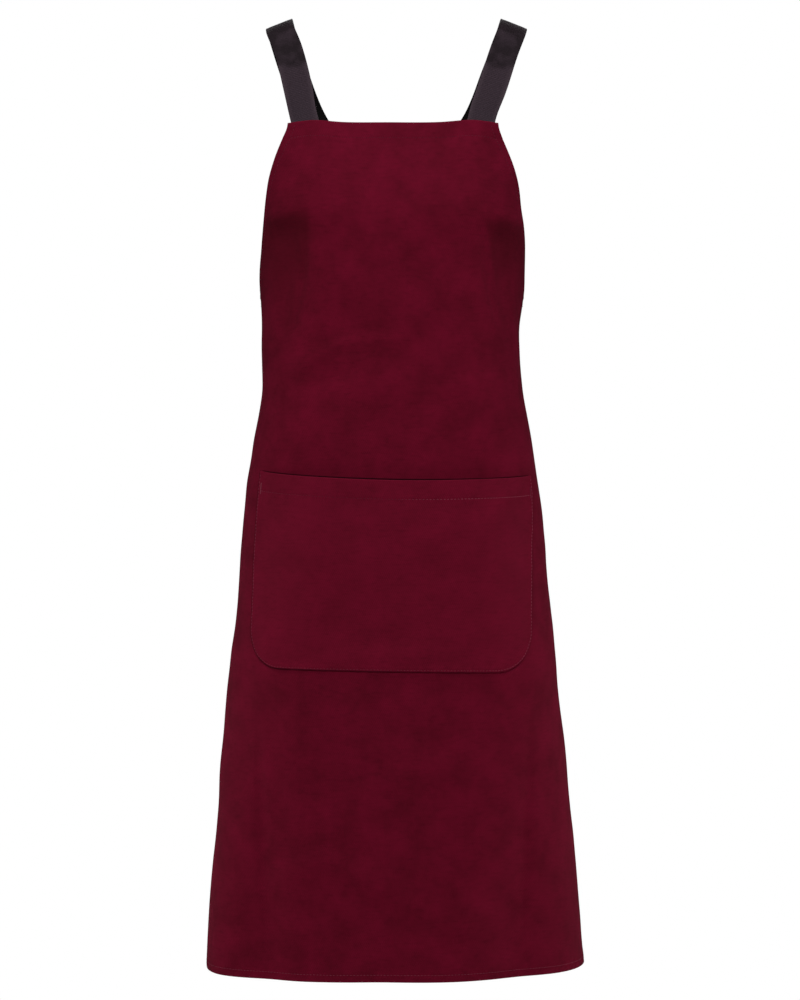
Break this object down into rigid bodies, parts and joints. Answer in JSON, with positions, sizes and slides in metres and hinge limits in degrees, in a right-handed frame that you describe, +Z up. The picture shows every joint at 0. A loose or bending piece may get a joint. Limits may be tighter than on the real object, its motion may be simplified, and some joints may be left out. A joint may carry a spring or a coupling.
{
  "type": "cross-back work apron",
  "caption": "Cotton cross-back work apron as worn: bib and skirt in one piece, wide patch pocket, webbing straps crossing on the back.",
  "frame": {"origin": "midway between the places where the two straps sit on the shoulders, at the height of the straps' seat", "axes": "+Z up as worn, -Y towards the front of the apron, +X to the wearer's left"},
  "size_m": [0.3986, 0.2518, 0.9999],
  "materials": {
    "cotton_drill": "woven cotton drill, burgundy, matt",
    "webbing": "ribbed cotton webbing, near black, matt",
    "thread": "spun sewing thread, dusty red"
  },
  "bodies": {
    "root": {"apron_panel": "cotton_drill", "pocket": "cotton_drill", "strap_over_right_shoulder": "webbing", "strap_over_left_shoulder": "webbing"}
  },
  "joints": []
}
